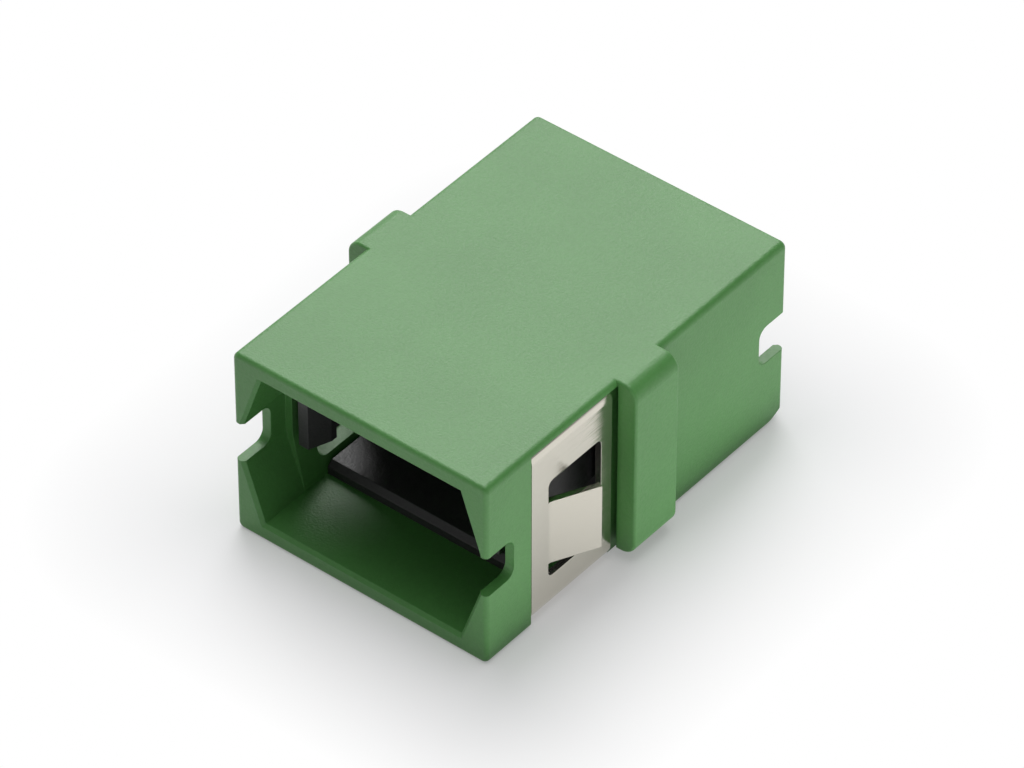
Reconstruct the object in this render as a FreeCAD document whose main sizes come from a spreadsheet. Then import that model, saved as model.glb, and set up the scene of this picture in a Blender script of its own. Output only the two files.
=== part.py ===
"""Fibre adapter with two ports, end to end, that snaps into a panel.

Frame: X runs along the ports, Y across the adapter and Z up. The origin is on the underside, below the
middle of the housing. Millimetres.

A moulded housing has a port at each end. Two identical latch inserts stand back to back inside it, the
second turned over, so that one port has its keyway above and the other below. A folded steel clip wraps
the underside of the housing and holds it in the panel.
"""
import FreeCAD, Part
import math
import os
import Sketcher

DRIVING_SIZES = {
    # Housing
    "body_length": 19.2,
    "body_width": 13.0,
    "body_height": 9.35,
    "body_edge_round": 0.3,
    "body_end_round": 0.2,
    "heel_run": 1.2,
    "heel_rise": 0.55,
    # Flange rib on each narrow side
    "flange_thickness": 2.75,
    "flange_reach": 0.93,
    "flange_rise": 0.4,
    "flange_corner_round": 0.7,
    "flange_edge_round": 0.12,
    # Ports: a wide mouth, and behind it the bore that holds a latch insert
    "wide_wall": 0.85,
    "mouth_side_wall": 0.45,
    "mouth_depth": 2.6,
    "mouth_lead": 0.15,
    "port_corner_run": 0.6,
    "port_side_height": 2.15,
    "notch_height": 2.0,
    "notch_depth": 1.7,
    "notch_round": 0.5,
    "side_window_margin": 0.2,
    # Latch inserts
    "insert_clearance": 0.03,
    "divider_thickness": 0.9,
    "window_width": 7.0,
    "window_height": 3.0,
    "window_round": 0.3,
    "window_lead": 0.2,
    "plate_thickness": 0.625,
    "plate_length": 5.6,
    "plate_lead": 0.25,
    "key_slot_width": 3.1,
    "latch_flex_room": 0.5,
    "latch_thickness": 0.5,
    "latch_height": 2.4,
    "latch_root_round": 0.25,
    "hook_reach": 0.4,
    "hook_catch": 5.9,
    "hook_nose": 0.3,
    "hook_ramp": 1.0,
    "snap_height": 0.2,
    "snap_length": 0.7,
    "snap_inset": 0.4,
    "snap_margin": 0.6,
    # Panel clip and the channel that it lies in
    "clip_thickness": 0.3,
    "clip_sink": 0.1,
    "clip_width": 5.045,
    "clip_flange_gap": 0.28,
    "clip_end_gap": 0.12,
    "clip_top_gap": 0.15,
    "clip_clearance": 0.03,
    "clip_rim": 0.22,
    "clip_bend": 0.35,
    "clip_lip": 0.7,
    "clip_lip_bend": 0.1,
    "channel_wall": 0.4,
    "channel_land": 0.05,
    "channel_undercut": 0.8,
    # Windows lanced in the clip's legs and the tangs bent out of them
    "lance_margin": 1.05,
    "lance_strip": 0.67,
    "lance_slot_above": 1.1,
    "lance_slot_below": 0.75,
    "lance_round": 0.3,
    "lance_drop": 0.45,
    "tang_height": 3.25,
    "tang_angle": 27.0,
    "tang_bend": 0.4,
    "panel_gap": 2.03,
}

# Two places closer together than this are one place
TOUCH = 1e-3

doc = FreeCAD.newDocument("fibre_adapter")
sizes = doc.addObject("Spreadsheet::Sheet", "sizes")
for row, (alias, number) in enumerate(DRIVING_SIZES.items(), start=1):
    sizes.set(f"A{row}", str(number))
    sizes.setAlias(f"A{row}", alias)
doc.recompute()

# Places worked out from the driving sizes, written as expressions that sketches and features are bound to
HALF_LENGTH = "(sizes.body_length / 2)"
HALF_WIDTH = "(sizes.body_width / 2)"
MIDDLE = "(sizes.body_height / 2)"
FLANGE_FACE = "(sizes.flange_thickness / 2)"
FLANGE_SIDE = f"({HALF_WIDTH} + sizes.flange_reach)"
RECESS = "(sizes.clip_thickness + sizes.clip_sink)"
RECESS_SIDE = f"({HALF_WIDTH} - {RECESS})"
RECESS_TOP = "(sizes.body_height - sizes.clip_rim)"
PORT_LOW = "(sizes.wide_wall)"
PORT_HIGH = "(sizes.body_height - sizes.wide_wall)"
MOUTH_SIDE = f"({HALF_WIDTH} - sizes.mouth_side_wall)"
BORE_SIDE = f"({RECESS_SIDE} - sizes.channel_wall)"
PORT_FLAT = f"({BORE_SIDE} - sizes.port_corner_run)"
INSERT_FLAT = f"({PORT_FLAT} - sizes.insert_clearance)"
KEY_SIDE = "(sizes.key_slot_width / 2)"
SNAP_SIDE = f"({INSERT_FLAT} - sizes.snap_margin)"
SNAP_FAR = "(sizes.snap_inset + sizes.snap_length)"
CLIP_INNER = f"({RECESS_SIDE} + sizes.clip_clearance)"
CLIP_OUTER = f"({CLIP_INNER} + sizes.clip_thickness)"
CLIP_TOP = f"({RECESS_TOP} - sizes.clip_top_gap)"
CLIP_LIP_END = f"({CLIP_OUTER} - sizes.clip_lip)"
CLIP_RIGHT = f"(-{FLANGE_FACE} - sizes.clip_flange_gap)"
CLIP_LEFT = f"({CLIP_RIGHT} - sizes.clip_width)"
HINGE = f"({CLIP_LEFT} + sizes.lance_margin)"
TANG_LOW = f"({MIDDLE} - sizes.lance_drop - sizes.tang_height / 2)"
LANCE_RIGHT = f"({CLIP_RIGHT} - sizes.lance_strip)"
LANCE_LOW = f"({TANG_LOW} - sizes.lance_slot_below)"
LANCE_HIGH = f"({TANG_LOW} + sizes.tang_height + sizes.lance_slot_above)"


def value(expression):
    """The number that an expression over the driving sizes gives."""
    return float(sizes.evalExpression(expression))


def minus(expression):
    return f"-({expression})"


def new_body(name):
    body = doc.addObject("PartDesign::Body", name)
    body.Label = name
    return body


def sketch_on(body, role, name, offset=None):
    """A sketch on an origin plane of the body, moved along the plane's normal by an expression."""
    sketch = body.newObject("Sketcher::SketchObject", name)
    plane = next(feature for feature in body.Origin.OriginFeatures if feature.Role == role)
    sketch.AttachmentSupport = [(plane, "")]
    sketch.MapMode = "FlatFace"
    if offset is not None:
        sketch.setExpression("AttachmentOffset.Base.z", offset)
    doc.recompute()
    return sketch


def drive(sketch, constraint, expression):
    """Adds a constraint whose size an expression sets."""
    index = sketch.addConstraint(constraint)
    sketch.setExpression(f"Constraints[{index}]", expression)


def arc_between(here, there, radius, turn):
    """An arc of at most half a circle between two points, turning left (1) or right (-1)."""
    chord = there - here
    rise = math.sqrt(max(radius**2 - chord.Length**2 / 4, 0))
    to_left = FreeCAD.Vector(-chord.y, chord.x, 0).normalize()
    centre = (here + there) / 2 + to_left * turn * rise
    first, last = (here, there) if turn == 1 else (there, here)
    start, stop = (math.atan2(point.y - centre.y, point.x - centre.x) for point in (first, last))
    if stop < start:
        stop += 2 * math.pi
    return Part.ArcOfCircle(Part.Circle(centre, FreeCAD.Vector(0, 0, 1), radius), start, stop)


def outline(sketch, corners):
    """A closed outline through corners given as (x, y), or as (x, y, radius, turn) where an arc leaves
    the corner. Places and radii are expressions."""
    points = [FreeCAD.Vector(value(corner[0]), value(corner[1]), 0) for corner in corners]
    edges = []
    for index, corner in enumerate(corners):
        here = points[index]
        there = points[(index + 1) % len(points)]
        if len(corner) == 2:
            line = sketch.addGeometry(Part.LineSegment(here, there))
            edges.append((line, 1, 2))
            continue
        radius, turn = corner[2:]
        arc = sketch.addGeometry(arc_between(here, there, value(radius), turn))
        drive(sketch, Sketcher.Constraint("Radius", arc, value(radius)), radius)
        edges.append((arc, 1, 2) if turn == 1 else (arc, 2, 1))
    for index, (edge, start, _) in enumerate(edges):
        before, _, end = edges[index - 1]
        sketch.addConstraint(Sketcher.Constraint("Coincident", before, end, edge, start))
        across, up = corners[index][:2]
        drive(sketch, Sketcher.Constraint("DistanceX", -1, 1, edge, start, points[index].x), across)
        drive(sketch, Sketcher.Constraint("DistanceY", -1, 1, edge, start, points[index].y), up)


def rectangle(sketch, left, right, low, high, radius=None):
    """A rectangle between four places, with round corners where a radius is given."""
    if radius is None:
        outline(sketch, [(left, low), (right, low), (right, high), (left, high)])
        return
    outline(sketch, [
        (f"{left} + {radius}", low), (f"{right} - {radius}", low, radius, 1),
        (right, f"{low} + {radius}"), (right, f"{high} - {radius}", radius, 1),
        (f"{right} - {radius}", high), (f"{left} + {radius}", high, radius, 1),
        (left, f"{high} - {radius}"), (left, f"{low} + {radius}", radius, 1),
    ])


def octagon(sketch, flat, side):
    """The port's section: flat above and below, upright at mid height, with slanting corners."""
    lower = f"({MIDDLE} - sizes.port_side_height / 2)"
    upper = f"({MIDDLE} + sizes.port_side_height / 2)"
    outline(sketch, [
        (minus(flat), PORT_LOW), (flat, PORT_LOW), (side, lower), (side, upper),
        (flat, PORT_HIGH), (minus(flat), PORT_HIGH), (minus(side), upper), (minus(side), lower),
    ])


def extrude(kind, body, sketch, name, length=None, both=False, reverse=False):
    """A Pad or a Pocket of a sketch, to a length or right through."""
    before = 0 if body.Shape.isNull() else body.Shape.Volume
    feature = body.newObject(f"PartDesign::{kind}", name)
    feature.Profile = sketch
    feature.SideType = "Symmetric" if both else "One side"
    feature.Reversed = reverse
    if length is None:
        feature.Type = "ThroughAll"
    else:
        feature.setExpression("Length", length)
    doc.recompute()
    gained = body.Shape.Volume - before
    if kind == "Pad" and gained <= 0 or kind == "Pocket" and gained >= 0:
        raise RuntimeError(f"{name} leaves the body as it was")


def dress(kind, body, name, size, wanted):
    """A Fillet or a Chamfer of the edges that a test picks on the body's newest feature."""
    base = body.Tip
    names = [f"Edge{n}" for n, edge in enumerate(base.Shape.Edges, start=1) if wanted(edge)]
    if not names:
        raise RuntimeError(f"{name} finds no edges")
    feature = body.newObject(f"PartDesign::{kind}", name)
    feature.Base = (base, names)
    feature.setExpression("Radius" if kind == "Fillet" else "Size", size)
    doc.recompute()


def lies_at(edge, axis, *places):
    """True where an edge lies wholly at one of the places along an axis (0 for X, 1 for Y, 2 for Z)."""
    points = [vertex.Point for vertex in edge.Vertexes] + [edge.CenterOfMass]
    return any(all(abs(point[axis] - place) < TOUCH for point in points) for place in places)


def lies_within(edge, half_width, half_height):
    """True where an edge lies inside a rectangle about the middle of the port, seen along X."""
    points = [vertex.Point for vertex in edge.Vertexes]
    middle = value(MIDDLE)
    return all(abs(point.y) < half_width + TOUCH and abs(point.z - middle) < half_height + TOUCH
               for point in points)


def make_housing():
    body = new_body("housing")

    # Flange ribs, which stop against the panel, padded as one bar across the housing and flush with its top
    flange = sketch_on(body, "YZ_Plane", "flange_section")
    rectangle(flange, minus(FLANGE_SIDE), FLANGE_SIDE, "sizes.flange_rise", "sizes.body_height",
              "sizes.flange_corner_round")
    extrude("Pad", body, flange, "flange", "sizes.flange_thickness", both=True)
    face = value(FLANGE_FACE)
    dress("Fillet", body, "flange_rounding", "sizes.flange_edge_round",
          lambda edge: lies_at(edge, 0, face, -face))

    # Outer block with rounded long edges and softened ends
    block = sketch_on(body, "YZ_Plane", "block_section")
    rectangle(block, minus(HALF_WIDTH), HALF_WIDTH, "0", "sizes.body_height", "sizes.body_edge_round")
    extrude("Pad", body, block, "block", "sizes.body_length", both=True)
    end = value(HALF_LENGTH)
    dress("Fillet", body, "end_rounding", "sizes.body_end_round", lambda edge: lies_at(edge, 0, end, -end))

    # Slanting heel under the right end, cut on past the end at the same slope
    heel = sketch_on(body, "XZ_Plane", "heel_section")
    heel_start = f"({HALF_LENGTH} - sizes.heel_run)"
    heel_beyond = f"({HALF_LENGTH} + sizes.heel_run)"
    outline(heel, [
        (heel_start, "0"), (heel_start, "-sizes.heel_rise"),
        (heel_beyond, "-sizes.heel_rise"), (heel_beyond, "2 * sizes.heel_rise"),
    ])
    extrude("Pocket", body, heel, "heel", both=True)

    # Channel for the clip across the underside and up both sides, with a slot for each lip below the rim
    channel_right = f"(-{FLANGE_FACE} - sizes.channel_land)"
    channel_left = f"({CLIP_LEFT} - sizes.clip_end_gap)"
    channel = sketch_on(body, "YZ_Plane", "clip_channel_section", channel_right)
    slot_end = f"({CLIP_LIP_END} - sizes.clip_clearance)"
    slot_low = f"({CLIP_TOP} - sizes.clip_thickness - sizes.clip_clearance)"
    bend_side = f"({RECESS_SIDE} - sizes.clip_bend)"
    bend_high = f"({RECESS} + sizes.clip_bend)"
    below = minus(RECESS)
    outline(channel, [
        (minus(FLANGE_SIDE), below), (FLANGE_SIDE, below), (FLANGE_SIDE, RECESS_TOP),
        (slot_end, RECESS_TOP), (slot_end, slot_low), (RECESS_SIDE, slot_low),
        (RECESS_SIDE, bend_high, "sizes.clip_bend", -1), (bend_side, RECESS),
        (minus(bend_side), RECESS, "sizes.clip_bend", -1), (minus(RECESS_SIDE), bend_high),
        (minus(RECESS_SIDE), slot_low), (minus(slot_end), slot_low), (minus(slot_end), RECESS_TOP),
        (minus(FLANGE_SIDE), RECESS_TOP),
    ])
    extrude("Pocket", body, channel, "clip_channel", f"{channel_right} - {channel_left}")

    # Slot that takes the channel on under each flange rib
    undercut = sketch_on(body, "YZ_Plane", "channel_undercut_section", channel_right)
    rectangle(undercut, RECESS_SIDE, HALF_WIDTH, below, RECESS_TOP)
    rectangle(undercut, minus(HALF_WIDTH), minus(RECESS_SIDE), below, RECESS_TOP)
    extrude("Pocket", body, undercut, "channel_undercut", "sizes.channel_land + sizes.channel_undercut",
            reverse=True)

    # Wide mouth at each end, and the narrower bore that joins them
    for name, side in (("left_mouth", minus), ("right_mouth", str)):
        mouth = sketch_on(body, "YZ_Plane", f"{name}_section", side(HALF_LENGTH))
        octagon(mouth, PORT_FLAT, MOUTH_SIDE)
        extrude("Pocket", body, mouth, name, "sizes.mouth_depth", reverse=side is minus)
    bore = sketch_on(body, "YZ_Plane", "bore_section")
    octagon(bore, PORT_FLAT, BORE_SIDE)
    extrude("Pocket", body, bore, "bore", both=True)
    mouth_side = value(MOUTH_SIDE)
    mouth_height = value(f"{MIDDLE} - sizes.wide_wall")
    dress("Chamfer", body, "mouth_lead_in", "sizes.mouth_lead",
          lambda edge: lies_at(edge, 0, end, -end) and lies_within(edge, mouth_side, mouth_height))

    # Notches through both side walls at each end, at mid height
    notches = sketch_on(body, "XZ_Plane", "notch_section")
    low = f"({MIDDLE} - sizes.notch_height / 2)"
    high = f"({MIDDLE} + sizes.notch_height / 2)"
    inner = f"({HALF_LENGTH} - sizes.notch_depth)"
    outer = f"({HALF_LENGTH} + sizes.notch_depth)"
    rectangle(notches, inner, outer, low, high, "sizes.notch_round")
    rectangle(notches, minus(outer), minus(inner), low, high, "sizes.notch_round")
    extrude("Pocket", body, notches, "notches", both=True)

    # Window through each side wall behind the lanced one, as far as the flange, which gives the tang and
    # the latch arm room to bend
    windows = sketch_on(body, "XZ_Plane", "side_window_section")
    margin = "sizes.side_window_margin"
    rectangle(windows, f"({HINGE} - {margin})", channel_right, f"({LANCE_LOW} - {margin})",
              f"({LANCE_HIGH} + {margin})", f"(sizes.lance_round + {margin})")
    extrude("Pocket", body, windows, "side_windows", both=True)

    # Grooves in the wide walls that hold the snap ribs of the inserts
    grooves = sketch_on(body, "XZ_Plane", "snap_groove_section")
    groove_low = f"({PORT_LOW} - sizes.snap_height - sizes.insert_clearance)"
    groove_high = f"({PORT_HIGH} + sizes.snap_height + sizes.insert_clearance)"
    rectangle(grooves, "sizes.snap_inset", SNAP_FAR, groove_low, groove_high)
    rectangle(grooves, minus(SNAP_FAR), "-sizes.snap_inset", groove_low, groove_high)
    extrude("Pocket", body, grooves, "snap_grooves", f"2 * ({SNAP_SIDE} + sizes.insert_clearance)",
            both=True)
    return body


def make_insert(name, turned):
    """A latch insert for the left port, or the same insert turned over for the right port."""
    body = new_body(name)

    # Divider across the bore, with the window that joins the two ports
    divider = sketch_on(body, "YZ_Plane", "divider_section")
    octagon(divider, INSERT_FLAT, f"({BORE_SIDE} - sizes.insert_clearance)")
    extrude("Pad", body, divider, "divider", "sizes.divider_thickness", reverse=True)
    window = sketch_on(body, "YZ_Plane", "window_section")
    rectangle(window, "-sizes.window_width / 2", "sizes.window_width / 2",
              f"{MIDDLE} - sizes.window_height / 2", f"{MIDDLE} + sizes.window_height / 2",
              "sizes.window_round")
    extrude("Pocket", body, window, "window", both=True)
    face = value("-sizes.divider_thickness")
    window_side = value("sizes.window_width / 2")
    window_height = value("sizes.window_height / 2")
    dress("Chamfer", body, "window_lead_in", "sizes.window_lead",
          lambda edge: lies_at(edge, 0, face) and lies_within(edge, window_side, window_height))

    # Guide plates below and above the port's tunnel, the upper one split by the keyway
    plates = sketch_on(body, "YZ_Plane", "plate_section")
    tunnel_low = f"({PORT_LOW} + sizes.plate_thickness)"
    tunnel_high = f"({PORT_HIGH} - sizes.plate_thickness)"
    rectangle(plates, minus(INSERT_FLAT), INSERT_FLAT, PORT_LOW, tunnel_low)
    rectangle(plates, KEY_SIDE, INSERT_FLAT, tunnel_high, PORT_HIGH)
    rectangle(plates, minus(INSERT_FLAT), minus(KEY_SIDE), tunnel_high, PORT_HIGH)
    extrude("Pad", body, plates, "guide_plates", "sizes.plate_length", reverse=True)
    front = value("-sizes.plate_length")
    tunnel_faces = value(tunnel_low), value(tunnel_high)
    dress("Chamfer", body, "plate_lead_in", "sizes.plate_lead",
          lambda edge: lies_at(edge, 0, front) and lies_at(edge, 2, *tunnel_faces))

    # Latch arms at the sides of the tunnel, each with a hook that points inwards near its free end
    arms = sketch_on(body, "XY_Plane", "latch_section", f"{MIDDLE} - sizes.latch_height / 2")
    outside = f"({BORE_SIDE} - sizes.latch_flex_room)"
    inside = f"({outside} - sizes.latch_thickness)"
    nose = f"({inside} - sizes.hook_reach)"
    root = "-sizes.divider_thickness / 2"
    catch = minus("sizes.hook_catch")
    ramp = f"({catch} - sizes.hook_nose)"
    tip = f"({ramp} - sizes.hook_ramp)"
    for side in (str, minus):
        outline(arms, [
            (root, side(outside)), (tip, side(outside)), (tip, side(inside)), (ramp, side(nose)),
            (catch, side(nose)), (catch, side(inside)), (root, side(inside)),
        ])
    extrude("Pad", body, arms, "latch_arms", "sizes.latch_height")
    arm_faces = [sign * value(place) for sign in (1, -1) for place in (inside, outside)]
    dress("Fillet", body, "latch_root_rounding", "sizes.latch_root_round",
          lambda edge: lies_at(edge, 0, face) and lies_at(edge, 1, *arm_faces))

    # Snap ribs above and below the divider, ramped so that the insert pushes in from its port
    snap_start = f"({KEY_SIDE} + sizes.snap_margin)"
    for rib_name, place in (("left_ribs", snap_start), ("right_ribs", minus(SNAP_SIDE))):
        ribs = sketch_on(body, "XZ_Plane", f"{rib_name}_section", place)
        near, far = "-sizes.snap_inset", minus(SNAP_FAR)
        outline(ribs, [(near, PORT_HIGH), (far, PORT_HIGH), (far, f"{PORT_HIGH} + sizes.snap_height")])
        outline(ribs, [(near, PORT_LOW), (far, PORT_LOW), (far, f"{PORT_LOW} - sizes.snap_height")])
        extrude("Pad", body, ribs, rib_name, f"{SNAP_SIDE} - {snap_start}")

    if turned:
        body.Placement = FreeCAD.Placement(FreeCAD.Vector(), FreeCAD.Rotation(FreeCAD.Vector(0, 1, 0), 180))
        body.setExpression("Placement.Base.z", "sizes.body_height")
        doc.recompute()
    return body


def make_clip():
    body = new_body("panel_clip")
    thick = "sizes.clip_thickness"

    # Folded strip: a web under the housing, a leg up each side and a lip in under the rim
    strip = sketch_on(body, "YZ_Plane", "strip_section", CLIP_LEFT)
    bend, lip_bend = "sizes.clip_bend", "sizes.clip_lip_bend"
    outer_bend, outer_lip_bend = f"({bend} + {thick})", f"({lip_bend} + {thick})"
    web_low, web_high = f"({RECESS} - {thick})", RECESS
    web_side = f"({CLIP_INNER} - {bend})"
    bend_high = f"({web_high} + {bend})"
    lip_low = f"({CLIP_TOP} - {thick})"
    lip_side = f"({CLIP_INNER} - {lip_bend})"
    lip_bend_low = f"({lip_low} - {lip_bend})"
    outline(strip, [
        (minus(web_side), web_low), (web_side, web_low, outer_bend, 1),
        (CLIP_OUTER, bend_high), (CLIP_OUTER, lip_bend_low, outer_lip_bend, 1),
        (lip_side, CLIP_TOP), (CLIP_LIP_END, CLIP_TOP),
        (CLIP_LIP_END, lip_low), (lip_side, lip_low, lip_bend, -1),
        (CLIP_INNER, lip_bend_low), (CLIP_INNER, bend_high, bend, -1),
        (web_side, web_high), (minus(web_side), web_high, bend, -1),
        (minus(CLIP_INNER), bend_high), (minus(CLIP_INNER), lip_bend_low, lip_bend, -1),
        (minus(lip_side), lip_low), (minus(CLIP_LIP_END), lip_low),
        (minus(CLIP_LIP_END), CLIP_TOP), (minus(lip_side), CLIP_TOP, outer_lip_bend, 1),
        (minus(CLIP_OUTER), lip_bend_low), (minus(CLIP_OUTER), bend_high, outer_bend, 1),
    ])
    extrude("Pad", body, strip, "strip", "sizes.clip_width")

    # Window lanced through each leg
    lances = sketch_on(body, "XZ_Plane", "lance_section")
    rectangle(lances, HINGE, LANCE_RIGHT, LANCE_LOW, LANCE_HIGH, "sizes.lance_round")
    extrude("Pocket", body, lances, "lances", both=True)

    # Tang bent out of each window, whose free end catches behind the panel
    tangs = sketch_on(body, "XY_Plane", "tang_section", TANG_LOW)
    sine, cosine = "sin(sizes.tang_angle * 1 deg)", "cos(sizes.tang_angle * 1 deg)"
    concave, convex = "sizes.tang_bend", f"(sizes.tang_bend + {thick})"
    root = f"({HINGE} - {thick})"
    tip = f"(-{FLANGE_FACE} - sizes.panel_gap - {thick} * {sine})"
    flap = f"(({tip} - {HINGE} - {concave} * {sine}) / {cosine})"
    rise = f"({concave} * (1 - {cosine}) + {flap} * {sine})"
    for side, turn in ((str, 1), (minus, -1)):
        outline(tangs, [
            (root, side(CLIP_OUTER)), (HINGE, side(CLIP_OUTER), concave, turn),
            (f"{HINGE} + {concave} * {sine}", side(f"{CLIP_OUTER} + {concave} * (1 - {cosine})")),
            (tip, side(f"{CLIP_OUTER} + {rise}")),
            (f"{tip} + {thick} * {sine}", side(f"{CLIP_OUTER} + {rise} - {thick} * {cosine}")),
            (f"{HINGE} + {convex} * {sine}", side(f"{CLIP_OUTER} + {concave} - {convex} * {cosine}"),
             convex, -turn),
            (HINGE, side(CLIP_INNER)), (root, side(CLIP_INNER)),
        ])
    extrude("Pad", body, tangs, "tangs", "sizes.tang_height")
    return body


pieces = [
    make_housing(),
    make_insert("left_insert", turned=False),
    make_insert("right_insert", turned=True),
    make_clip(),
]

for item in doc.Objects:
    if "Invalid" in item.State or "Error" in item.State:
        raise RuntimeError(f"{item.Name} is in state {item.State}")
for piece in pieces:
    if piece.Shape.isNull() or not piece.Shape.isValid() or len(piece.Shape.Solids) != 1:
        raise RuntimeError(f"{piece.Label} isn't one valid solid")

os.makedirs("parts", exist_ok=True)
for piece in pieces:
    piece.Shape.exportStep(f"parts/{piece.Label}.step")
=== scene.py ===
"""Looks of a panel-mount fibre adapter.

A satin green housing, black latch inserts and a folded steel clip, on white paper.
"""

import math

import bmesh
import bpy
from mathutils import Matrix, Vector


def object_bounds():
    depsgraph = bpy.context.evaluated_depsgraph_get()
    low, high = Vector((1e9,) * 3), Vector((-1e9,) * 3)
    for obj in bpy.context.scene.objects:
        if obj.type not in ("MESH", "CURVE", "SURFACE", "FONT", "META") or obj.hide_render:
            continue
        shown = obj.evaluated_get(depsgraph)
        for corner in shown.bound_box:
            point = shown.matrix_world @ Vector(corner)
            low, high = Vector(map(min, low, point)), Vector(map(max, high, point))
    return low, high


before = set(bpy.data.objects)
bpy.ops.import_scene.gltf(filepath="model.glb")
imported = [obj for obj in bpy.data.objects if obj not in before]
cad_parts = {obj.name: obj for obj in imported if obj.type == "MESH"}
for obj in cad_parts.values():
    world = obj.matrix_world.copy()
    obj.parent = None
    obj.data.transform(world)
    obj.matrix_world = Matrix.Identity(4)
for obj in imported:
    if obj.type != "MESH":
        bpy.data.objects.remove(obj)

bl_info = {
    "name": "Multi-fibre panel adapter",
    "version": (1, 0, 0),
    "blender": (4, 5, 0),
    "location": "3D View > Sidebar > Adapter",
    "description": "Finishes the mouldings and the panel clip of a multi-fibre adapter and sets its studio",
    "category": "Object",
}

MM = 0.001
CAD_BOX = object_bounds()
CENTRE = (CAD_BOX[0] + CAD_BOX[1]) / 2
# Half the length and half the width of the adapter, whose middle is at the origin
FOOTPRINT = (*CAD_BOX[1][:2], 0)
HOUSING = "housing"
INSERTS = ("left_insert", "right_insert")
CLIP = "panel_clip"

IMAGE_WIDTH = 1024
IMAGE_HEIGHT = 768
SENSOR_WIDTH = 36
NEAREST_SEEN = 1 * MM
FARTHEST_SEEN = 20

# Middle of each lamp and the side of its square, in metres
KEY_PLACE = Vector((0.02, 0.02, 0.32))
KEY_SIZE = 0.26
SHEEN_PLACE = Vector((0.21, 0.17, 0.24))
SHEEN_SIZE = 0.22
CARD_PLACE = Vector((-0.002, -0.028, 0.0002))
CARD_SIZE = 0.04

# Sines of the elevations between which the white backdrop gives way to the ceiling
BACKDROP_TOP = 0.2
CEILING_START = 0.5

WHITE = (1, 1, 1, 1)
PLASTIC_IOR = 1.5
BEVEL_SAMPLES = 8
# Most of a noise texture lies between these values
NOISE_LOW = 0.35
NOISE_HIGH = 0.65
# Finer layers that each noise texture adds to its main one
CLOUD_DETAIL = 3
SPECK_DETAIL = 1
GRAIN_DETAIL = 2
LINE_DETAIL = 3
SMEAR_DETAIL = 3
# Most streak colour that a cloud brings, and the least and most that a speck adds to it
CLOUD_SHARE = 0.8
SPECK_LEAST = -0.15
SPECK_MOST = 0.25
# Sockets of a Mix node set to colour
MIX_AMOUNT = 0
MIX_FIRST = 6
MIX_SECOND = 7
MIX_RESULT = 2


def linear(hex_colour):
    """The linear colour of an sRGB hex value such as 5E9A58."""
    shares = [int(hex_colour[i:i + 2], 16) / 255 for i in (0, 2, 4)]
    return [s / 12.92 if s <= 0.04045 else ((s + 0.055) / 1.055) ** 2.4 for s in shares]


def add(tree, kind, inputs=None, **settings):
    """Adds a node with its settings; inputs gives each socket a value, or an output to link from."""
    node = tree.nodes.new(kind)
    for name, value in settings.items():
        setattr(node, name, value)
    for name, value in (inputs or {}).items():
        if isinstance(value, bpy.types.NodeSocket):
            tree.links.new(value, node.inputs[name])
        else:
            node.inputs[name].default_value = value
    return node


def new_material(name):
    """An empty node material and its tree."""
    material = bpy.data.materials.new(name)
    material.use_nodes = True
    material.node_tree.nodes.clear()
    return material, material.node_tree


def dress(node_name, material):
    """Puts a material in every slot of a solid that came from the frame."""
    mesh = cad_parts[node_name].data
    mesh.materials.clear()
    mesh.materials.append(material)


class MouldingFinish(bpy.types.PropertyGroup):
    """Colour and surface of the moulded pieces."""
    housing_colour: bpy.props.FloatVectorProperty(
        name="Housing colour", description="Colour of the housing's pigmented plastic",
        subtype="COLOR", size=3, min=0, max=1, default=linear("498240"))
    housing_streaks: bpy.props.FloatVectorProperty(
        name="Housing streaks", description="Colour of the housing where the pigment is thinner",
        subtype="COLOR", size=3, min=0, max=1, default=linear("4F8A46"))
    insert_colour: bpy.props.FloatVectorProperty(
        name="Insert colour", description="Colour of the inserts' pigmented plastic",
        subtype="COLOR", size=3, min=0, max=1, default=linear("2C2B2D"))
    insert_streaks: bpy.props.FloatVectorProperty(
        name="Insert streaks", description="Colour of the inserts where the pigment is thinner",
        subtype="COLOR", size=3, min=0, max=1, default=linear("343335"))
    cloud_size: bpy.props.FloatProperty(
        name="Cloud size", description="Width of the soft clouds that the pigment flows in",
        unit="LENGTH", min=0.5 * MM, max=50 * MM, default=5 * MM)
    speck_size: bpy.props.FloatProperty(
        name="Speck size", description="Width of the specks that the pigment settles in",
        unit="LENGTH", min=0.02 * MM, max=5 * MM, default=0.2 * MM)
    roughness: bpy.props.FloatProperty(
        name="Roughness", description="Mean roughness of the satin mould texture",
        subtype="FACTOR", min=0.05, max=1, default=0.42)
    roughness_spread: bpy.props.FloatProperty(
        name="Roughness spread", description="How far the roughness strays from its mean, grain by grain",
        subtype="FACTOR", min=0, max=0.3, default=0.04)
    grain: bpy.props.FloatProperty(
        name="Texture grain", description="Width of one grain of the mould texture",
        unit="LENGTH", min=0.02 * MM, max=1 * MM, default=0.11 * MM)
    grain_height: bpy.props.FloatProperty(
        name="Texture height", description="Height of the mould texture",
        unit="LENGTH", min=0, max=0.05 * MM, default=0.012 * MM)
    edge_round: bpy.props.FloatProperty(
        name="Edge round", description="Smallest round that the mould leaves on an edge",
        unit="LENGTH", min=0, max=0.2 * MM, default=0.045 * MM)


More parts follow.
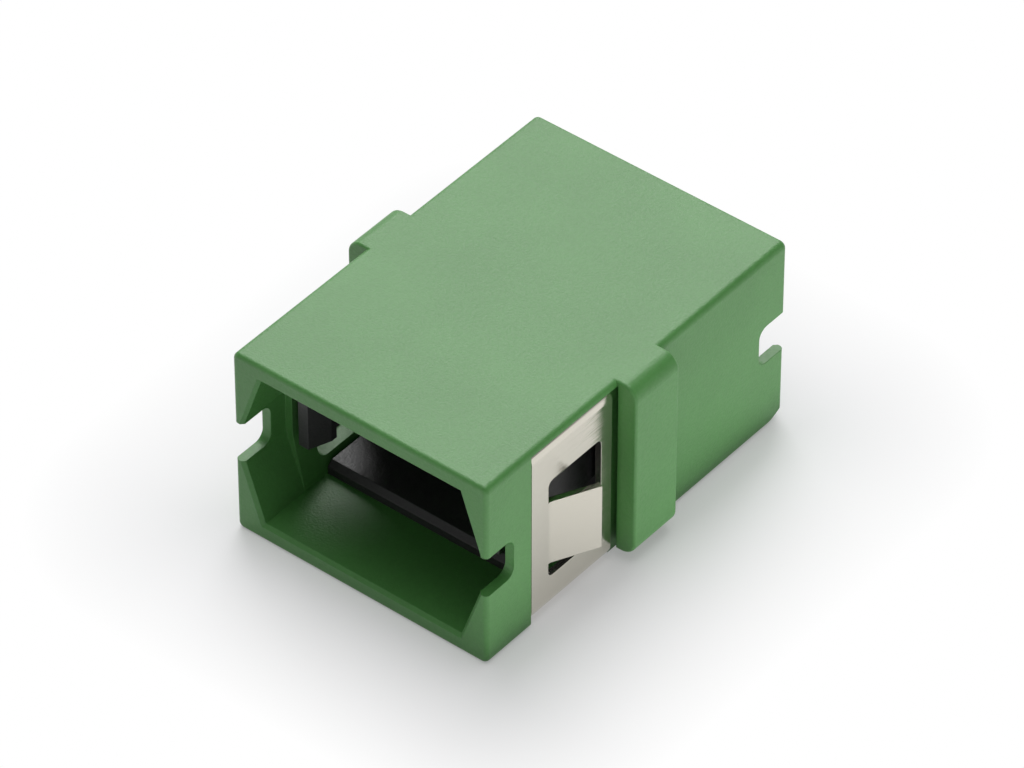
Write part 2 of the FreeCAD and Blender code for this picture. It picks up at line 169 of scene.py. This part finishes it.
class ClipFinish(bpy.types.PropertyGroup):
    """Colour and surface of the spring steel clip."""
    colour: bpy.props.FloatVectorProperty(
        name="Steel colour", description="Reflected colour of the steel",
        subtype="COLOR", size=3, min=0, max=1, default=linear("D6D2C6"))
    roughness: bpy.props.FloatProperty(
        name="Roughness", description="Mean roughness of the rolled strip",
        subtype="FACTOR", min=0.02, max=1, default=0.18)
    roughness_spread: bpy.props.FloatProperty(
        name="Roughness spread", description="How far the roughness strays from its mean",
        subtype="FACTOR", min=0, max=0.3, default=0.07)
    line_spacing: bpy.props.FloatProperty(
        name="Rolling line spacing", description="Distance between the rolling lines",
        unit="LENGTH", min=0.02 * MM, max=1 * MM, default=0.07 * MM)
    line_length: bpy.props.FloatProperty(
        name="Rolling line length", description="Length over which a rolling line keeps its depth",
        unit="LENGTH", min=0.5 * MM, max=50 * MM, default=6 * MM)
    line_height: bpy.props.FloatProperty(
        name="Rolling line height", description="Height of the rolling lines",
        unit="LENGTH", min=0, max=0.1 * MM, default=0.009 * MM)
    smear_size: bpy.props.FloatProperty(
        name="Smear size", description="Width of the patches that polish brighter than the rest",
        unit="LENGTH", min=0.1 * MM, max=10 * MM, default=1.5 * MM)
    edge_round: bpy.props.FloatProperty(
        name="Edge round", description="Round that blanking leaves on the sheet's edges",
        unit="LENGTH", min=0, max=0.1 * MM, default=0.04 * MM)


class StudioSettings(bpy.types.PropertyGroup):
    """Floor, lamps and camera."""
    floor_colour: bpy.props.FloatVectorProperty(
        name="Floor colour", description="Colour of the paper sweep",
        subtype="COLOR", size=3, min=0, max=1, default=linear("E6E6E8"))
    floor_size: bpy.props.FloatProperty(
        name="Floor size", description="Side of the square floor",
        unit="LENGTH", min=0.2, max=10, default=3.0)
    contact_white: bpy.props.FloatProperty(
        name="White at the adapter", description="Share of plain white in the floor beside the adapter",
        subtype="FACTOR", min=0, max=1, default=0.28)
    shadow_reach: bpy.props.FloatProperty(
        name="Shadow reach", description="Distance from the adapter at which the floor is plain white",
        unit="LENGTH", min=1 * MM, max=1, default=8 * MM)
    key_power: bpy.props.FloatProperty(
        name="Key power", description="Power of the soft box overhead",
        unit="POWER", min=0, max=100, default=0.53)
    sheen_power: bpy.props.FloatProperty(
        name="Sheen power", description="Power of the soft box behind that lays a sheen on the top",
        unit="POWER", min=0, max=100, default=0.71)
    card_power: bpy.props.FloatProperty(
        name="Card power", description="Power of the low panel in front that stands for a bounce card",
        unit="POWER", min=0, max=10, default=0.007)
    room_light: bpy.props.FloatProperty(
        name="Room light", description="Strength of the light from all round",
        min=0, max=2, default=0.2)
    azimuth: bpy.props.FloatProperty(
        name="Camera azimuth", description="Turn of the camera round the adapter",
        subtype="ANGLE", default=math.radians(-51))
    elevation: bpy.props.FloatProperty(
        name="Camera elevation", description="Height of the camera above the horizon",
        subtype="ANGLE", default=math.radians(41.5))
    lens: bpy.props.FloatProperty(
        name="Lens", description="Focal length on a 36 mm wide sensor, in millimetres",
        min=20, max=600, default=250)
    frame_height: bpy.props.FloatProperty(
        name="Frame height", description="Height of the picture at the adapter",
        unit="LENGTH", min=0.01, max=1, default=31 * MM)


def moulded_plastic(name, colour, streaks, settings):
    """Glass-filled PBT, moulded in a spark-eroded tool: an even satin that breaks up highlights."""
    material, tree = new_material(name)
    place = add(tree, "ShaderNodeTexCoord").outputs["Object"]
    # The pigment flows in soft clouds and settles in small specks, so no two patches are quite one colour.
    clouds = add(tree, "ShaderNodeTexNoise", {
        "Vector": place, "Scale": 1 / settings.cloud_size, "Detail": CLOUD_DETAIL})
    specks = add(tree, "ShaderNodeTexNoise", {
        "Vector": place, "Scale": 1 / settings.speck_size, "Detail": SPECK_DETAIL})
    cloudy = add(tree, "ShaderNodeMapRange", {
        "Value": clouds.outputs["Fac"], "From Min": NOISE_LOW, "From Max": NOISE_HIGH,
        "To Min": 0.0, "To Max": CLOUD_SHARE})
    flecked = add(tree, "ShaderNodeMapRange", {
        "Value": specks.outputs["Fac"], "From Min": NOISE_LOW, "From Max": NOISE_HIGH,
        "To Min": SPECK_LEAST, "To Max": SPECK_MOST})
    amount = add(tree, "ShaderNodeMath", {
        0: cloudy.outputs[0], 1: flecked.outputs[0]}, operation="ADD", use_clamp=True)
    pigment = add(tree, "ShaderNodeMix", {
        MIX_AMOUNT: amount.outputs[0], MIX_FIRST: (*colour, 1), MIX_SECOND: (*streaks, 1)},
        data_type="RGBA")
    # Spark grain is about 0.03 mm wide on the real part; it is drawn coarser so that it shows.
    grain = add(tree, "ShaderNodeTexNoise", {
        "Vector": place, "Scale": 1 / settings.grain, "Detail": GRAIN_DETAIL})
    rough = add(tree, "ShaderNodeMapRange", {
        "Value": grain.outputs["Fac"], "From Min": NOISE_LOW, "From Max": NOISE_HIGH,
        "To Min": settings.roughness - settings.roughness_spread,
        "To Max": settings.roughness + settings.roughness_spread})
    edges = add(tree, "ShaderNodeBevel", {"Radius": settings.edge_round}, samples=BEVEL_SAMPLES)
    bump = add(tree, "ShaderNodeBump", {
        "Strength": 1.0, "Distance": settings.grain_height, "Height": grain.outputs["Fac"],
        "Normal": edges.outputs[0]})
    shader = add(tree, "ShaderNodeBsdfPrincipled", {
        "Base Color": pigment.outputs[MIX_RESULT], "Roughness": rough.outputs[0], "IOR": PLASTIC_IOR,
        "Normal": bump.outputs[0]})
    add(tree, "ShaderNodeOutputMaterial", {"Surface": shader.outputs[0]})
    return material


def rolled_steel(settings):
    """Stainless spring sheet, cold rolled, then blanked: bright and warm, with fine lines along X."""
    material, tree = new_material("stainless spring steel, cold rolled")
    place = add(tree, "ShaderNodeTexCoord").outputs["Object"]
    # The lines cross the bend of each tang. They are some 0.02 mm apart on the real sheet and shallower, and
    # are drawn coarser and taller so that they show.
    across = 1 / settings.line_spacing
    along = add(tree, "ShaderNodeMapping", {
        "Vector": place, "Scale": (1 / settings.line_length, across, across)})
    lines = add(tree, "ShaderNodeTexNoise", {
        "Vector": along.outputs[0], "Scale": 1.0, "Detail": LINE_DETAIL})
    smear = add(tree, "ShaderNodeTexNoise", {
        "Vector": place, "Scale": 1 / settings.smear_size, "Detail": SMEAR_DETAIL})
    mixed = add(tree, "ShaderNodeMath", {0: lines.outputs["Fac"], 1: smear.outputs["Fac"]}, operation="ADD")
    rough = add(tree, "ShaderNodeMapRange", {
        "Value": mixed.outputs[0], "From Min": 2 * NOISE_LOW, "From Max": 2 * NOISE_HIGH,
        "To Min": settings.roughness - settings.roughness_spread,
        "To Max": settings.roughness + settings.roughness_spread})
    edges = add(tree, "ShaderNodeBevel", {"Radius": settings.edge_round}, samples=BEVEL_SAMPLES)
    bump = add(tree, "ShaderNodeBump", {
        "Strength": 1.0, "Distance": settings.line_height, "Height": lines.outputs["Fac"],
        "Normal": edges.outputs[0]})
    shader = add(tree, "ShaderNodeBsdfPrincipled", {
        "Base Color": (*settings.colour, 1), "Metallic": 1.0, "Roughness": rough.outputs[0],
        "Normal": bump.outputs[0]})
    add(tree, "ShaderNodeOutputMaterial", {"Surface": shader.outputs[0]})
    return material


def ray_share(tree):
    """An output that is 1 for camera, glossy and transmission rays, and 0 for rays that light the scene."""
    path = add(tree, "ShaderNodeLightPath")
    gloss = add(tree, "ShaderNodeMath", {
        0: path.outputs["Is Camera Ray"], 1: path.outputs["Is Glossy Ray"]}, operation="MAXIMUM")
    return add(tree, "ShaderNodeMath", {
        0: gloss.outputs[0], 1: path.outputs["Is Transmission Ray"]}, operation="MAXIMUM").outputs[0]


def paper_floor(settings):
    """Matt white paper that fades to plain white away from the adapter, and keeps its shadow near it."""
    material, tree = new_material("white paper sweep, matt")
    place = add(tree, "ShaderNodeTexCoord").outputs["Object"]
    # Distance outside the adapter's footprint
    mirrored = add(tree, "ShaderNodeVectorMath", {0: place}, operation="ABSOLUTE")
    beyond = add(tree, "ShaderNodeVectorMath", {0: mirrored.outputs[0], 1: FOOTPRINT}, operation="SUBTRACT")
    outside = add(tree, "ShaderNodeVectorMath", {0: beyond.outputs[0], 1: (0, 0, 0)}, operation="MAXIMUM")
    away = add(tree, "ShaderNodeVectorMath", {0: outside.outputs[0]}, operation="LENGTH")
    fade = add(tree, "ShaderNodeMapRange", {
        "Value": away.outputs["Value"], "From Min": 0.0, "From Max": settings.shadow_reach,
        "To Min": settings.contact_white, "To Max": 1.0})
    seen = add(tree, "ShaderNodeMath", {0: fade.outputs[0], 1: ray_share(tree)}, operation="MULTIPLY")
    paper = add(tree, "ShaderNodeBsdfDiffuse", {"Color": (*settings.floor_colour, 1)})
    white = add(tree, "ShaderNodeEmission", {"Color": WHITE, "Strength": 1.0})
    mixed = add(tree, "ShaderNodeMixShader", {0: seen.outputs[0], 1: paper.outputs[0], 2: white.outputs[0]})
    add(tree, "ShaderNodeOutputMaterial", {"Surface": mixed.outputs[0]})
    return material


def lay_floor(scene, settings):
    """A square of paper under the adapter."""
    mesh = bpy.data.meshes.new("floor")
    plane = bmesh.new()
    bmesh.ops.create_grid(plane, x_segments=1, y_segments=1, size=settings.floor_size / 2)
    plane.to_mesh(mesh)
    plane.free()
    mesh.materials.append(paper_floor(settings))
    floor = bpy.data.objects.new("floor", mesh)
    scene.collection.objects.link(floor)


def soft_box(scene, name, place, size, power):
    """A square area lamp that faces the adapter and stays out of the picture."""
    lamp = bpy.data.lights.new(name, "AREA")
    lamp.shape = "SQUARE"
    lamp.size = size
    lamp.energy = power
    box = bpy.data.objects.new(name, lamp)
    box.location = place
    box.rotation_euler = (CENTRE - place).to_track_quat("-Z", "Y").to_euler()
    box.visible_camera = False
    scene.collection.objects.link(box)
    return box


def hang_lamps(scene, settings):
    """A soft box overhead, one behind for the sheen on the top, and a card on the floor that shines up."""
    soft_box(scene, "key", KEY_PLACE, KEY_SIZE, settings.key_power)
    soft_box(scene, "sheen", SHEEN_PLACE, SHEEN_SIZE, settings.sheen_power)
    card = soft_box(scene, "card", CARD_PLACE, CARD_SIZE, settings.card_power)
    card.rotation_euler = (math.pi, 0, 0)
    card.visible_glossy = False


def light_room(scene, settings):
    """A dim room whose backdrop looks white near the horizon."""
    world = bpy.data.worlds.new("studio")
    world.use_nodes = True
    tree = world.node_tree
    tree.nodes.clear()
    place = add(tree, "ShaderNodeTexCoord").outputs["Generated"]
    heading = add(tree, "ShaderNodeSeparateXYZ", {0: place})
    backdrop = add(tree, "ShaderNodeMapRange", {
        "Value": heading.outputs["Z"], "From Min": BACKDROP_TOP, "From Max": CEILING_START,
        "To Min": 1.0, "To Max": 0.0})
    seen = add(tree, "ShaderNodeMath", {0: backdrop.outputs[0], 1: ray_share(tree)}, operation="MULTIPLY")
    room = add(tree, "ShaderNodeBackground", {"Color": WHITE, "Strength": settings.room_light})
    white = add(tree, "ShaderNodeBackground", {"Color": WHITE, "Strength": 1.0})
    mixed = add(tree, "ShaderNodeMixShader", {0: seen.outputs[0], 1: room.outputs[0], 2: white.outputs[0]})
    add(tree, "ShaderNodeOutputWorld", {"Surface": mixed.outputs[0]})
    scene.world = world


def set_camera(scene, settings):
    """A long lens that looks down on the adapter's clip side and left port."""
    back = Vector((
        math.sin(settings.azimuth) * math.cos(settings.elevation),
        -math.cos(settings.azimuth) * math.cos(settings.elevation),
        math.sin(settings.elevation)))
    camera = bpy.data.cameras.new("camera")
    camera.lens = settings.lens
    camera.sensor_width = SENSOR_WIDTH
    camera.clip_start = NEAREST_SEEN
    camera.clip_end = FARTHEST_SEEN
    frame_width = settings.frame_height * IMAGE_WIDTH / IMAGE_HEIGHT
    eye = bpy.data.objects.new("camera", camera)
    eye.location = CENTRE + back * (frame_width * settings.lens / SENSOR_WIDTH)
    eye.rotation_euler = (-back).to_track_quat("-Z", "Y").to_euler()
    scene.collection.objects.link(eye)
    scene.camera = eye


class ADAPTER_OT_finish_housing(bpy.types.Operator):
    """Gives the housing its green plastic"""
    bl_idname = "adapter.finish_housing"
    bl_label = "Finish housing"

    def execute(self, context):
        finish = context.scene.adapter_moulding
        dress(HOUSING, moulded_plastic(
            "green PBT, satin moulded", finish.housing_colour, finish.housing_streaks, finish))
        return {"FINISHED"}


class ADAPTER_OT_finish_inserts(bpy.types.Operator):
    """Gives both latch inserts their black plastic"""
    bl_idname = "adapter.finish_inserts"
    bl_label = "Finish latch inserts"

    def execute(self, context):
        finish = context.scene.adapter_moulding
        plastic = moulded_plastic(
            "black PBT, satin moulded", finish.insert_colour, finish.insert_streaks, finish)
        for name in INSERTS:
            dress(name, plastic)
        return {"FINISHED"}


class ADAPTER_OT_finish_clip(bpy.types.Operator):
    """Gives the panel clip its rolled stainless steel"""
    bl_idname = "adapter.finish_clip"
    bl_label = "Finish panel clip"

    def execute(self, context):
        dress(CLIP, rolled_steel(context.scene.adapter_clip))
        return {"FINISHED"}


class ADAPTER_OT_set_studio(bpy.types.Operator):
    """Lays the floor, hangs the lamps and sets the camera"""
    bl_idname = "adapter.set_studio"
    bl_label = "Set studio"

    def execute(self, context):
        scene = context.scene
        studio = scene.adapter_studio
        lay_floor(scene, studio)
        hang_lamps(scene, studio)
        light_room(scene, studio)
        set_camera(scene, studio)
        scene.view_settings.view_transform = "Standard"
        return {"FINISHED"}


GROUPS = {
    "adapter_moulding": MouldingFinish,
    "adapter_clip": ClipFinish,
    "adapter_studio": StudioSettings,
}
OPERATORS = {
    "adapter_moulding": (ADAPTER_OT_finish_housing, ADAPTER_OT_finish_inserts),
    "adapter_clip": (ADAPTER_OT_finish_clip,),
    "adapter_studio": (ADAPTER_OT_set_studio,),
}


class ADAPTER_PT_sidebar(bpy.types.Panel):
    """The adapter's finishes and studio"""
    bl_idname = "ADAPTER_PT_sidebar"
    bl_label = "Multi-fibre adapter"
    bl_space_type = "VIEW_3D"
    bl_region_type = "UI"
    bl_category = "Adapter"

    def draw(self, context):
        for name, group in GROUPS.items():
            box = self.layout.box()
            for setting in group.__annotations__:
                box.prop(getattr(context.scene, name), setting)
            for operator in OPERATORS[name]:
                box.operator(operator.bl_idname)


CLASSES = (
    *GROUPS.values(),
    *(operator for row in OPERATORS.values() for operator in row),
    ADAPTER_PT_sidebar,
)


def register():
    for cls in CLASSES:
        bpy.utils.register_class(cls)
    for name, group in GROUPS.items():
        setattr(bpy.types.Scene, name, bpy.props.PointerProperty(type=group))


def unregister():
    for name in GROUPS:
        delattr(bpy.types.Scene, name)
    for cls in reversed(CLASSES):
        bpy.utils.unregister_class(cls)


def main():
    register()
    bpy.ops.adapter.finish_housing()
    bpy.ops.adapter.finish_inserts()
    bpy.ops.adapter.finish_clip()
    bpy.ops.adapter.set_studio()


if __name__ == "__main__":
    main()
